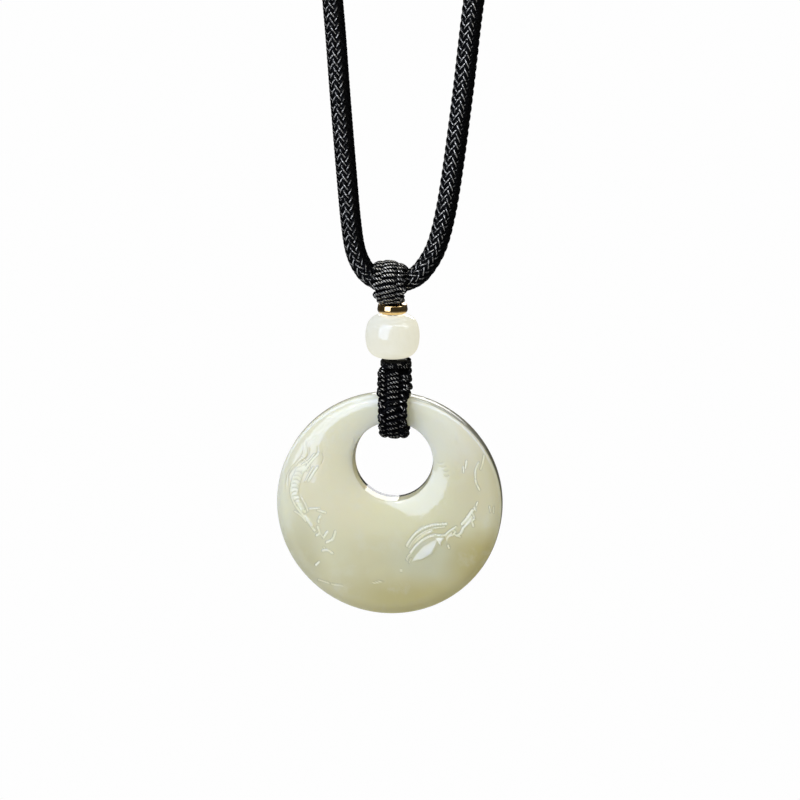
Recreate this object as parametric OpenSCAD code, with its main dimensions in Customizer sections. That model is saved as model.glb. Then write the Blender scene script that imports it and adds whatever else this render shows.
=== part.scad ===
// A jade disc pendant with a high round hole, hung on a knotted strap under a
// drilled bead, a gilt ring and a knotted bail, on a closed round braided neck cord.
// The cord hangs from the nape: the origin is under the sleeve at the top of the loop.
// +Z is up and the carved face looks along -Y. Lengths are in millimetres.

/* [Jade disc] */
// Diameter of the disc
disc_d = 42; // [39:0.5:46]
// Diameter of the hole at its throat
hole_d = 14.2; // [12.5:0.1:15.2]
// Distance from the centre of the disc up to the centre of the hole
hole_offset = 8.4; // [7.4:0.1:9]
// Thickness at the top of the dome
disc_t = 7.8; // [7:0.1:8.6]
// Thickness where the dome turns over into the shoulder
shoulder_t = 5.4; // [5:0.1:6]
// Distance in from the rim to where the dome turns over into the shoulder
shoulder_in = 2.8; // [2.4:0.1:3.2]
// Radius of the round shoulder near the rim
shoulder_r = 4.2; // [3.8:0.1:4.8]
// Height of the upright wall round the rim
rim_h = 3.2; // [2.4:0.1:3.8]
// Radius of the small round along the rim's edges
rim_edge_r = 0.5; // [0.3:0.1:0.8]
// Height of the straight wall in the hole's throat
throat_h = 3; // [2:0.1:3.6]
// How much wider the lip of the hole is than its throat, on the radius
lip_flare = 0.4; // [0.2:0.1:0.6]
// Height between the two lips of the hole
lip_h = 3.8; // [3.4:0.1:4.2]
// Radius of the rolled-in mouth between the dome and the lip
mouth_r = 5.6; // [5:0.1:6.5]
// Lean of the disc about the centre of its hole, in degrees
disc_lean = 5; // [0:0.5:8]
// How far the hole's centre hangs to the right of the plumb line
hole_shift = 0.2; // [0:0.1:0.6]
// Height of the carved relief above the dome
relief_h = 0.25; // [0.15:0.05:0.4]
// Width of a carved line
relief_w = 0.7; // [0.5:0.1:1]

/* [Bead and ring] */
// Diameter of the bead
bead_d = 10; // [9:0.5:12]
// Height of the bead
bead_h = 8; // [7.5:0.1:9]
// Radius of the bead's round shoulders
bead_edge_r = 3.2; // [2.6:0.1:3.6]
// Diameter of the drilled holes in the bead and the ring
drill_d = 2.3; // [2:0.1:2.8]
// Diameter of the gilt ring
ring_d = 5.6; // [5:0.1:6.4]
// Height of the gilt ring
ring_h = 1.8; // [1.4:0.1:2.2]
// Diameter of the bundle of threads inside the bead
thread_d = 1.8; // [1.4:0.1:1.9]

/* [Knotted strap] */
// Width of the strap between the tips of its knots
strap_w = 5.5; // [4.6:0.1:6.2]
// Width of the two knots above the disc
stem_w = 6.2; // [5.4:0.1:7]
// Thickness of the strap
strap_t = 2.2; // [1.8:0.1:2.4]
// Length of the knots between the collar and the top of the disc
stem_h = 4.4; // [4:0.1:5.2]
// Distance from knot to knot along the strap
knot_pitch = 2.1; // [1.8:0.1:2.4]
// How far the side loops of the knots stand out
knot_bulge = 0.3; // [0.1:0.05:0.4]
// Diameter of the collar knot under the bead
collar_d = 5.8; // [5:0.1:6.6]
// Height of the collar knot
collar_h = 1.9; // [1.6:0.1:2.4]
// How far the collar and the strap hang to the right of the plumb line
strap_shift = 0.4; // [0:0.1:0.6]

/* [Bail knot] */
// Width of the bail along the neck cord
bail_w = 6.6; // [5.6:0.1:7]
// Width of the bail where it meets the gilt ring
bail_foot_w = 4.8; // [4:0.1:5.4]
// Thickness of the bail over the neck cord
bail_t = 2.1; // [1.8:0.1:2.6]
// Thickness of the bail under the neck cord
bail_foot_t = 1.45; // [1.2:0.05:1.8]

/* [Neck cord] */
// Diameter of the braided neck cord
cord_d = 3.9; // [3.6:0.1:4.1]
// Length of the wound sleeve at the nape
sleeve_l = 32; // [28:1:36]
// Diameter of the wound sleeve
sleeve_d = 6; // [5.8:0.1:6.6]

/* [Fits] */
// Gap between pieces that rest against each other
seat_gap = 0.2; // [0.1:0.05:0.3]
// Room all round the neck cord inside the bail and the sleeve
cord_room = 0.25; // [0.2:0.05:0.4]
// Room between the strap and the jade
strap_room = 0.4; // [0.3:0.05:0.5]

/* [Hidden] */
$fn = 96;

// Route of the neck cord from one end in the sleeve, down, through the bail and back up:
// distance to the right of the plumb line, and height above the centre of the bail
CORD_ROUTE = [
    [3, 228], [18, 228], [33, 224.5], [44, 215], [48.5, 202], [46.5, 183], [41.5, 160], [35, 136],
    [28, 112], [21.5, 88], [17, 68], [14.5, 50], [12.8, 35], [11, 21], [9.6, 12.5], [7.9, 6.4],
    [5.2, 2.1], [2.6, 0.5], [0, 0], [-2.5, 0.5], [-4.9, 2.1], [-6.7, 5.6], [-7.6, 11],
    [-8.4, 20], [-9.5, 34], [-10.6, 49], [-12.4, 67], [-17, 88], [-24.5, 112], [-33, 136],
    [-41, 160], [-46.5, 183], [-48.5, 202], [-44, 215], [-33, 224.5], [-18, 228], [-3, 228]];
// Height of the cord's middle above the bail at the nape
cord_top = 228;
// Radius of the bend that the cord takes through the bail
cord_bend_r = 7;
cord_sides = 8;
cord_steps = 2;

// Stack of the pieces below the cord's centre in the bail
loop_drop = cord_top - sleeve_d / 2;
tunnel_r = cord_d / 2 + cord_room;
bail_r = tunnel_r + bail_t;
bail_bottom = -tunnel_r - bail_foot_t;
ring_top = bail_bottom - seat_gap;
bead_top = ring_top - ring_h - seat_gap;
collar_top = bead_top - bead_h - seat_gap;
strap_top = collar_top - collar_h - seat_gap;
disc_top = strap_top - stem_h;

// Jade disc
disc_r = disc_d / 2;
throat_r = hole_d / 2;
lip_r = throat_r + lip_flare;
bridge = disc_r - hole_offset - throat_r;
hole_z = disc_top - disc_r + hole_offset * cos(disc_lean);
// The dome is one large arc that turns over into the shoulder's smaller one
turn_r = disc_r - shoulder_in;
dome_rise = (disc_t - shoulder_t) / 2;
dome_r = (turn_r * turn_r + dome_rise * dome_rise) / (2 * dome_rise);
dome_z = disc_t / 2 - dome_r;
turn_slope = asin(turn_r / dome_r);
shoulder_x = turn_r - shoulder_r * sin(turn_slope);
shoulder_z = shoulder_t / 2 - shoulder_r * cos(turn_slope);
// The mouth's arc runs through the lip and crosses the dome a little before its own top
mouth_over = 0.35;
mouth_z = disc_t / 2 + mouth_over - mouth_r;
mouth_x = lip_r + sqrt(mouth_r * mouth_r - pow(lip_h / 2 - mouth_z, 2));
// Plain border that the carving leaves inside the rim
carving_margin = 1.1;

// Strap: a loop round the bridge of jade between the rim and the hole
wrap_in = max(norm([bridge / 2, rim_h / 2]), (disc_t / 2 + shoulder_t / 2) / 2) + strap_room;
wrap_r = wrap_in + strap_t / 2;
wrap_z = disc_top - bridge / 2;
// The two legs of the strap meet above the disc, a small gap apart, and spread below that
leg_gap = 0.1;
leg_y = strap_t / 2 + leg_gap;
leg_spread = 3.6;
leg_run = bridge / 2 + leg_spread;
// How much the strap's inner face hollows towards its edges, to follow the hole
strap_dish = 0.35;
// Height over which the wide knots above the disc narrow to the strap
stem_step = 0.6;

function smooth(u) = u <= 0 ? 0 : u >= 1 ? 1 : u * u * (3 - 2 * u);
// Share of the way from one knot's waist to its full width
function swell(s, pitch) = abs(sin(180 * s / pitch));

// Carved lines on the front, each an arc from one point to another. Places are shares of the
// disc's radius from its centre as seen from the front. The bow is the arc's height as a share
// of its length, to the left of its way, and the width is a share of relief_w.
// [from across, from up, to across, to up, bow, width]
CARVING = [
    // Flowing lines beside the left rim
    [-0.79,  0.57, -0.85,  0.33,  0.10, 1.0],
    [-0.85,  0.33, -0.93,  0.10, -0.10, 1.0],
    [-0.75,  0.52, -0.80,  0.33,  0.14, 0.9],
    [-0.80,  0.33, -0.88,  0.16, -0.06, 0.9],
    [-0.68,  0.48, -0.74,  0.36,  0.16, 0.9],
    [-0.74,  0.36, -0.83,  0.19, -0.06, 0.9],
    [-0.64,  0.44, -0.75,  0.27,  0.04, 0.8],
    [-0.62,  0.30, -0.72,  0.18,  0.06, 0.8],
    // Body that curves down along the left rim, with its hooks and flicks
    [-0.90,  0.12, -0.60, -0.31, -0.13, 1.3],
    [-0.82,  0.10, -0.62, -0.24, -0.07, 1.0],
    [-0.64, -0.10, -0.53, -0.11,  0.10, 0.8],
    [-0.56, -0.14, -0.58, -0.19, -0.10, 0.8],
    [-0.51, -0.31, -0.54, -0.37, -0.12, 0.9],
    [-0.44, -0.30, -0.52, -0.38,  0.22, 0.9],
    [-0.54, -0.48, -0.46, -0.49,  0.14, 0.8],
    [-0.57, -0.78, -0.36, -0.81,  0.02, 0.8],
    [-0.06, -0.72,  0.00, -0.70, -0.10, 0.8],
    // Nested crescents and the leaf at the lower right
    [ 0.18, -0.31,  0.55, -0.07,  0.22, 1.1],
    [ 0.17, -0.37,  0.51, -0.11,  0.20, 1.0],
    [ 0.19, -0.43,  0.48, -0.17,  0.18, 1.0],
    [ 0.21, -0.48,  0.45, -0.22,  0.14, 0.9],
    [ 0.29, -0.46,  0.45, -0.29,  0.05, 2.4],
    [ 0.43, -0.24,  0.61, -0.13,  0.10, 1.1],
    [ 0.50, -0.22,  0.61, -0.17, -0.10, 1.0],
    // Curl and spray that rise along the right rim
    [ 0.62, -0.18,  0.68, -0.12,  0.20, 1.0],
    [ 0.68, -0.09,  0.78,  0.07, -0.04, 1.6],
    [ 0.71, -0.06,  0.79,  0.00,  0.10, 1.0],
    [ 0.73,  0.49,  0.72,  0.38,  0.12, 0.8],
    [ 0.72,  0.38,  0.78,  0.25, -0.10, 0.8],
    [ 0.81,  0.56,  0.78,  0.46,  0.10, 0.8],
    [ 0.65,  0.49,  0.65,  0.42,  0.10, 0.8]];

// Points of a spline through a list of [x, z], with so many steps to a span
function spline_at(a, b, c, d, t) =
    0.5 * (2 * b + (c - a) * t + (2 * a - 5 * b + 4 * c - d) * t * t
        + (3 * b - a - 3 * c + d) * t * t * t);
function spline(p, steps) = [
    for (i = [0:len(p) - 2], k = [0:steps - 1])
        spline_at(p[max(i - 1, 0)], p[i], p[i + 1], p[min(i + 2, len(p) - 1)], k / steps),
    p[len(p) - 1]];
function unit(v) = v / norm(v);
function heading(p, i) = unit(p[min(i + 1, len(p) - 1)] - p[max(i - 1, 0)]);

// One closed body from rings of points, capped at both ends or joined end to end
module skin(rings, ring_closed = false) {
    n = len(rings[0]);
    m = len(rings);
    turns = ring_closed ? m : m - 1;
    sides = [for (i = [0:turns - 1], j = [0:n - 1])
        [i * n + j, i * n + (j + 1) % n, ((i + 1) % m) * n + (j + 1) % n, ((i + 1) % m) * n + j]];
    caps = ring_closed ? [] : [[for (j = [n - 1:-1:0]) j], [for (j = [0:n - 1]) (m - 1) * n + j]];
    polyhedron(points = [for (r = rings, p = r) p], faces = concat(sides, caps));
}

// Section of a knotted band: across x, and out from its middle, for a half width and a
// half thickness, with round edges and an inner face that hollows by dish at its edges
function band_section(half_w, out, inner, dish) = [
    [-half_w, 0], [-0.86 * half_w, 0.72 * out], [-0.5 * half_w, out], [0, 0.94 * out],
    [0.5 * half_w, out], [0.86 * half_w, 0.72 * out], [half_w, 0],
    [0.86 * half_w, -inner + dish], [0.45 * half_w, -inner + 0.3 * dish], [0, -inner],
    [-0.45 * half_w, -inner + 0.3 * dish], [-0.86 * half_w, -inner + dish]];

module hang() {
    translate([0, 0, -loop_drop]) children();
}

// Turns a body made flat, with its face up, to stand with its face to the front
module stand_up() {
    rotate([90, 0, 0]) children();
}

// Half of the disc's section, from its axis out, grown outward by a small amount
module dome_section(grow = 0) {
    intersection() {
        union() {
            square([disc_r - rim_edge_r, rim_h / 2 + grow]);
            square([disc_r, rim_h / 2 - rim_edge_r]);
            translate([disc_r - rim_edge_r, rim_h / 2 - rim_edge_r]) circle(rim_edge_r);
            translate([shoulder_x, shoulder_z]) circle(shoulder_r + grow);
            intersection() {
                translate([0, dome_z]) circle(dome_r + grow, $fn = 720);
                square([turn_r, disc_t]);
            }
        }
        square([disc_r, disc_t]);
    }
}

module dome_half(grow = 0) {
    rotate_extrude($fn = 180) dome_section(grow);
}

// What the hole takes away on one side of the disc's middle
module hole_half() {
    rotate_extrude($fn = 144) {
        square([throat_r, disc_t]);
        polygon([[0, throat_h / 2], [throat_r, throat_h / 2], [lip_r, lip_h / 2], [0, lip_h / 2]]);
        difference() {
            translate([0, lip_h / 2]) square([mouth_x, disc_t - lip_h / 2]);
            translate([mouth_x, mouth_z]) circle(mouth_r);
        }
    }
}

module both_sides() {
    children();
    mirror([0, 0, 1]) children();
}

// A carved line as an upright arc-shaped wall
module carved_arc(line) {
    from = disc_r * [line[0], line[1]];
    to = disc_r * [line[2], line[3]];
    chord = norm(to - from);
    rise = abs(line[4]) * chord;
    radius = (chord * chord / 4 + rise * rise) / (2 * rise);
    ahead = (to - from) / chord;
    outward = sign(line[4]) * [-ahead[1], ahead[0]];
    centre = (from + to) / 2 + outward * (rise - radius);
    half_turn = asin(chord / 2 / radius);
    width = relief_w * line[5];
    translate([centre[0], centre[1], 0])
        rotate([0, 0, atan2(outward[1], outward[0]) - half_turn])
            rotate_extrude(angle = 2 * half_turn)
                translate([radius - width / 2, rim_h / 4]) square([width, disc_t]);
}

module carving() {
    intersection() {
        dome_half(relief_h);
        union() for (line = CARVING) carved_arc(line);
        cylinder(h = disc_t, r = disc_r - carving_margin);
    }
}

module jade_disc() {
    color("#d2d2b8") hang()
        translate([hole_shift, 0, hole_z]) rotate([0, disc_lean, 0]) stand_up()
            difference() {
                translate([0, -hole_offset, 0]) {
                    both_sides() dome_half();
                    carving();
                }
                both_sides() hole_half();
            }
}

module jade_bead() {
    flat_r = bead_d / 2 - bead_edge_r;
    waist = bead_h / 2 - bead_edge_r;
    color("#ecebdc") hang() translate([0, 0, bead_top - bead_h / 2])
        difference() {
            rotate_extrude() {
                translate([0, -bead_h / 2]) square([flat_r, bead_h]);
                translate([0, -waist]) square([bead_d / 2, 2 * waist]);
                for (side = [-1, 1]) translate([flat_r, side * waist]) intersection() {
                    circle(bead_edge_r);
                    translate([-flat_r, -bead_edge_r]) square([bead_d / 2, 2 * bead_edge_r]);
                }
            }
            cylinder(h = bead_h + 2, d = drill_d, center = true);
        }
}

// A low band with a bulged side
module gilt_ring() {
    color("#d9a84a") hang() translate([0, 0, ring_top - ring_h / 2])
        difference() {
            rotate_extrude() {
                translate([0, -ring_h / 2]) square([(ring_d - ring_h) / 2, ring_h]);
                translate([(ring_d - ring_h) / 2, 0]) circle(ring_h / 2);
            }
            cylinder(h = ring_h + 2, d = drill_d, center = true);
        }
}

// The bundle of threads that carries the bead and the ring, from the bail to the collar
module bead_thread() {
    top = bail_bottom - seat_gap / 2;
    bottom = collar_top + seat_gap / 2;
    color("#1a1a1c") hang() translate([0, 0, bottom]) cylinder(h = top - bottom, d = thread_d);
}

module collar_knot() {
    round_r = collar_h / 2;
    color("#1a1a1c") hang() translate([strap_shift, 0, collar_top - round_r])
        rotate_extrude() {
            translate([0, -round_r]) square([collar_d / 2 - round_r, collar_h]);
            translate([collar_d / 2 - round_r, 0]) circle(round_r);
        }
}

// The bail: a knotted band closed round the neck cord, flat where it sits on the ring
module bail_knot() {
    knots = round(2 * PI * bail_r / knot_pitch);
    steps = 4 * knots;
    reach = bail_w / 2;
    mouth = cord_bend_r - sqrt(cord_bend_r * cord_bend_r - reach * reach);
    // The bail narrows to its foot over the lower part of the turn
    function foot(a) = smooth((-sin(a) - 0.2) / 0.7);
    function half_w(a) = (bail_w + (bail_foot_w - bail_w) * foot(a)) / 2
        - knot_bulge * (1 - swell(a, 360 / knots));
    function outer(a) = min(bail_r, sin(a) < 0 ? bail_bottom / sin(a) : bail_r);
    function mid(a) = (outer(a) + tunnel_r) / 2;
    rings = [for (k = [0:steps - 1]) let (
        a = 90 - 360 * k / steps,
        w = half_w(a),
        out = outer(a) - mid(a),
        room = mouth * pow(w / reach, 2))
        [for (p = band_section(w, out, mid(a) - tunnel_r, room)) let (r = mid(a) + p[1])
            [p[0], -r * cos(a), r * sin(a)]]];
    color("#1a1a1c") hang() skin(rings, true);
}

// Middle line of the strap in [depth, height]: down the front from the collar, out past the
// rim of the disc, round under the bridge, and up the back in the same way
leg_h = strap_top - wrap_z;
function leg_at(z) = [
    leg_y + (wrap_r - leg_y) * smooth(1 - z / leg_run), wrap_z + z];
function wrap_at(a) = [wrap_r * cos(a), wrap_z - wrap_r * sin(a)];
leg_knots = round(leg_h / knot_pitch) + 1;
wrap_knots = 2 * round(PI * wrap_r / knot_pitch / 2);
strap_line = concat(
    [for (k = [0:4 * leg_knots - 1]) let (p = leg_at(leg_h * (1 - k / (4 * leg_knots)))) [-p[0], p[1]]],
    [for (k = [0:4 * wrap_knots]) let (p = wrap_at(180 * k / (4 * wrap_knots))) [-p[0], p[1]]],
    [for (k = [4 * leg_knots - 1:-1:0]) leg_at(leg_h * (1 - k / (4 * leg_knots)))]);

// The strap: a knotted band folded through the hole, its two ends side by side at the top
module hanging_strap() {
    last = len(strap_line) - 1;
    rings = [for (i = [0:last]) let (
        here = strap_line[i],
        ahead = i == 0 ? [0, -1] : i == last ? [0, 1] : heading(strap_line, i),
        over = smooth((here[1] - disc_top) / stem_step + 0.5),
        w = (strap_w + (stem_w - strap_w) * over) / 2 - knot_bulge * (1 - swell(i, 4)))
        [for (p = band_section(w, strap_t / 2, strap_t / 2, strap_dish))
            [p[0] + strap_shift, here[0] + ahead[1] * p[1], here[1] - ahead[0] * p[1]]]];
    color("#1a1a1c") hang() skin(rings);
}

// The neck cord: one round cord in a plane, both ends butted inside the sleeve
module neck_cord() {
    line = spline(CORD_ROUTE, cord_steps);
    last = len(line) - 1;
    rings = [for (i = [0:last]) let (
        here = line[i],
        ahead = i == 0 || i == last ? [1, 0] : heading(line, i))
        [for (k = [0:cord_sides - 1]) let (
            a = 360 * (k + 0.5) / cord_sides,
            side = cord_d / 2 * cos(a),
            depth = cord_d / 2 * sin(a))
            [here[0] - ahead[1] * side, depth, here[1] + ahead[0] * side]]];
    color("#1a1a1c") hang() skin(rings);
}

module nape_sleeve() {
    edge_r = 0.8;
    bore_r = cord_d / 2 + cord_room;
    color("#1a1a1c") translate([0, 0, sleeve_d / 2]) rotate([0, 90, 0])
        difference() {
            rotate_extrude() {
                translate([0, -sleeve_l / 2]) square([sleeve_d / 2 - edge_r, sleeve_l]);
                translate([0, -sleeve_l / 2 + edge_r]) square([sleeve_d / 2, sleeve_l - 2 * edge_r]);
                for (end = [-1, 1])
                    translate([sleeve_d / 2 - edge_r, end * (sleeve_l / 2 - edge_r)]) circle(edge_r);
            }
            cylinder(h = sleeve_l + 2, r = bore_r, center = true);
        }
}

jade_disc();
jade_bead();
gilt_ring();
bead_thread();
bail_knot();
collar_knot();
hanging_strap();
neck_cord();
nape_sleeve();
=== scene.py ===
"""The dressed jade pendant on its neck cord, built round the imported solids.
Shapes are worked out in millimetres from the centre of the bail and made in metres."""
import math

import bpy
import numpy as np
from mathutils import Matrix, Vector


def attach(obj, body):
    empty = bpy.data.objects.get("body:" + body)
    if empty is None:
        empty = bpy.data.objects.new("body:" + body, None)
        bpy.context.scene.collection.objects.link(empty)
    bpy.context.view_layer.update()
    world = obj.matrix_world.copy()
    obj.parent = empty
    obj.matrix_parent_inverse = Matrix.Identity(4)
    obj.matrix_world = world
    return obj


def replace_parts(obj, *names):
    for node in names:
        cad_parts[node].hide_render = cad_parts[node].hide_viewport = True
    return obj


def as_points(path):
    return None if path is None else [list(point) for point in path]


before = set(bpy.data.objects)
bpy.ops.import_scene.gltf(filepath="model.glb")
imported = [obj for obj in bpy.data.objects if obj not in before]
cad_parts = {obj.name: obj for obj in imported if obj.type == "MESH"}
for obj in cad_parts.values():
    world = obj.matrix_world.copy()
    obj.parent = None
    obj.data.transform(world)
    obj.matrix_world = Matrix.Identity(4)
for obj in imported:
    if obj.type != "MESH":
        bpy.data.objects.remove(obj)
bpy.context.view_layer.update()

MM = 0.001
TINY = 1e-6    # what sums may be short of a whole number, or of zero
LOOP_DROP = 225.0    # from the nape down to the centre of the bail

# Sizes that the part's source gives, in millimetres
DISC_R, HOLE_OFFSET, DISC_T = 21.0, 8.4, 7.8
SHOULDER_T, SHOULDER_IN, SHOULDER_R = 5.4, 2.8, 4.2
RIM_H, RIM_EDGE_R, THROAT_R = 3.2, 0.5, 7.1
DISC_LEAN = math.radians(5)
HOLE_SHIFT, STRAP_SHIFT = 0.2, 0.4
BEAD_R, BEAD_H, DRILL_R = 5.0, 8.0, 1.15
RING_R, RING_H, THREAD_R = 2.8, 1.8, 0.9
STRAP_W, STEM_W, STRAP_T, KNOT_PITCH = 5.5, 6.2, 2.2, 2.1
COLLAR_R, COLLAR_H = 2.9, 1.9
BAIL_W, BAIL_FOOT_W, BAIL_R, BAIL_BOTTOM, TUNNEL_R = 6.6, 4.8, 4.3, -3.65, 2.2
CORD_R, SLEEVE_L, SLEEVE_R = 1.95, 32.0, 3.0
RING_TOP, BEAD_TOP, COLLAR_TOP, STRAP_TOP, DISC_TOP = -3.85, -5.85, -14.05, -16.15, -20.55
DISC_CENTRE = DISC_TOP - DISC_R
HOLE_Z = DISC_CENTRE + HOLE_OFFSET * math.cos(DISC_LEAN)

# The neck cord's route, as in the part's source: to the right, and up from the bail's centre
CORD_ROUTE = [
    (3, 228), (18, 228), (33, 224.5), (44, 215), (48.5, 202), (46.5, 183), (41.5, 160), (35, 136),
    (28, 112), (21.5, 88), (17, 68), (14.5, 50), (12.8, 35), (11, 21), (9.6, 12.5), (7.9, 6.4),
    (5.2, 2.1), (2.6, 0.5), (0, 0), (-2.5, 0.5), (-4.9, 2.1), (-6.7, 5.6), (-7.6, 11),
    (-8.4, 20), (-9.5, 34), (-10.6, 49), (-12.4, 67), (-17, 88), (-24.5, 112), (-33, 136),
    (-41, 160), (-46.5, 183), (-48.5, 202), (-44, 215), (-33, 224.5), (-18, 228), (-3, 228)]

# The carving, laid out from the disc's centre: across and up, 113 steps to its radius.
CARVING_STEPS = 113
CARVING_MOVE = (1.0, 3.0)    # steps across and up from there to the face's own middle

# Thin grooves: half width and depth in hundredths of a millimetre, then the places they pass
GROOVES = [
    # Flowing lines beside the left rim
    (18, 6, [(-87, 63), (-87, 50), (-93, 41), (-99, 34), (-103, 27), (-105, 18), (-104, 9)]),
    (18, 7, [(-86, 66), (-82, 56), (-82, 47), (-90, 40), (-96, 34), (-101, 27), (-102, 20),
             (-101, 9)]),
    (16, 5, [(-84, 64), (-80, 55), (-81, 47), (-87, 42), (-93, 37)]),
    (16, 5, [(-72, 58), (-72, 51), (-77, 46)]),
    (16, 4, [(-68, 53), (-66, 45), (-69, 38)]),
    # Small ripples at the upper end of the polish by the hole
    (16, 3, [(47, 42), (51, 42), (54, 44)]), (16, 3, [(50, 38), (54, 38), (57, 40)]),
    (16, 3, [(53, 34), (57, 34), (59, 36)]), (16, 3, [(54, 30), (57, 29), (60, 31)])]

# Narrow cuts whose floor is turned to the window: half width in hundredths of a millimetre,
# then the places that they pass
CUTS = [
    # Feathers above the scaled band
    (22, [(-71, 50), (-78, 42), (-84, 34), (-87, 30)]), (15, [(-75, 49), (-81, 42), (-87, 38)]),
    (15, [(-88, 45), (-84, 42), (-80, 36), (-82, 32)]),
    (22, [(-72, 36), (-76, 30), (-81, 22)]), (14, [(-76, 36), (-80, 29), (-84, 21)]),
    # Edges of the scaled band, and its long lower end
    (18, [(-96, 26), (-98, 18), (-99, 11), (-98, 4), (-95, -3), (-91, -9)]),
    (16, [(-88, 4), (-84, -3), (-82, -9)]),
    (24, [(-93, -6), (-88, -12), (-83, -18), (-78, -25), (-75, -29)]),
    (16, [(-95, -10), (-88, -15), (-84, -20)]),
    # Hooks, flicks and dots below it
    (22, [(-72, -25), (-70, -31), (-73, -34)]), (14, [(-70, -31), (-67, -35)]),
    (18, [(-72, -8), (-64, -10)]), (13, [(-80, -7), (-70, -6)]),
    (22, [(-69, -14), (-70, -16)]), (22, [(-71, -18), (-71, -20)]),
    (22, [(-62, -30), (-66, -36)]), (22, [(-54, -29), (-56, -36), (-58, -38)]),
    (20, [(-57, -38), (-63, -41)]), (20, [(-67, -50), (-62, -49), (-57, -52)]),
    (15, [(-66, -46), (-65, -47)]), (22, [(-71, -62), (-74, -65)]),
    (17, [(-72, -81), (-61, -84)]), (17, [(-58, -85), (-48, -86)]), (17, [(-15, -82), (-8, -80)]),
    # Nested crescents
    (22, [(18, -42), (22, -35), (28, -28), (36, -23), (45, -20), (57, -19)]),
    (14, [(20, -44), (24, -37), (30, -31), (38, -26), (47, -23), (56, -22)]),
    (24, [(22, -49), (28, -41), (35, -35), (44, -31), (54, -31), (58, -29)]),
    (15, [(18, -57), (19, -53), (22, -50)]), (12, [(20, -60), (22, -55)]),
    # Curl, arrow and spray that rise along the right rim
    (20, [(56, -31), (61, -26), (67, -22)]), (20, [(63, -31), (66, -27), (63, -25)]),
    (24, [(68, -31), (72, -28), (74, -23)]), (20, [(66, -30), (71, -32)]),
    (28, [(73, -19), (78, -13), (83, -5)]), (22, [(75, -22), (80, -17), (85, -14)]),
    (22, [(78, -11), (82, -15), (84, -21)]), (18, [(82, -5), (85, -12)]),
    (20, [(85, -2), (86, -5)]), (15, [(88, 3), (87, 0)]),
    (20, [(59, -41), (60, -44)]), (16, [(12, -67), (12, -69)]),
    # Fine strokes at the upper right
    (18, [(77, 45), (76, 38)]), (16, [(74, 39), (74, 34)]),
    (18, [(89, 43), (86, 36), (86, 28)]), (18, [(86, 26), (87, 22), (90, 16)]),
    (18, [(94, 50), (93, 43), (91, 37)]),
    (12, [(100, -1), (101, -7)]), (12, [(104, -2), (104, -8)])]

# The scaled band: its half width in hundredths of a millimetre and its middle line
SCALED_BAND = (80, [(-90, 31), (-93, 22), (-95, 13), (-94, 5), (-90, -3), (-85, -10)])

# Facets: how deep their upper left end is cut in hundredths of a millimetre, then their corners
FACETS = [
    (20, [(22, -59), (26, -51), (32, -43), (40, -38), (49, -35), (47, -42), (43, -50),
          (34, -56)]),
    (3, [(22, -42), (28, -34), (35, -28), (43, -25), (45, -27), (36, -31), (29, -37)]),
    (6, [(45, -33), (56, -33), (53, -37), (52, -42), (49, -38)]),
    (6, [(56, -32), (63, -27), (64, -31), (60, -33), (58, -38)]),
    (6, [(74, -20), (81, -9), (84, -12), (82, -17), (78, -20)]),
    (5, [(-90, 36), (-86, 39), (-81, 33), (-86, 30)]),
    (5, [(-94, 1), (-89, -2), (-85, -9), (-88, -11), (-92, -5)]),
    (5, [(-86, -11), (-80, -17), (-75, -26), (-79, -25), (-84, -18)])]


def smooth(u):
    u = np.clip(u, 0, 1)
    return u * u * (3 - 2 * u)


def blend(a, b, share):
    return a + (b - a) * share


def unit(ways):
    return ways / np.linalg.norm(ways, axis=-1, keepdims=True)


def totals_of(steps):
    return np.concatenate([[0], np.cumsum(steps)])


def far_along(line):
    """How far along a line each of its points is."""
    return totals_of(np.linalg.norm(np.diff(line, axis=0), axis=1))


def new_object(name, data):
    obj = bpy.data.objects.new(name, data)
    bpy.context.scene.collection.objects.link(obj)
    return obj


def aimed(target, turn, rise, far):
    """A place that faces a target, given in millimetres, from so many metres away. In degrees,
    turn is to the right of the pendant's front and rise is upward."""
    t, e = math.radians(turn), math.radians(rise)
    back = Vector((math.sin(t) * math.cos(e), -math.cos(t) * math.cos(e), math.sin(e)))
    return (Matrix.Translation(Vector(target) * MM + back * far)
            @ (-back).to_track_quat("-Z", "Y").to_matrix().to_4x4())


# Gathering and making a piece's mesh

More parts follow.
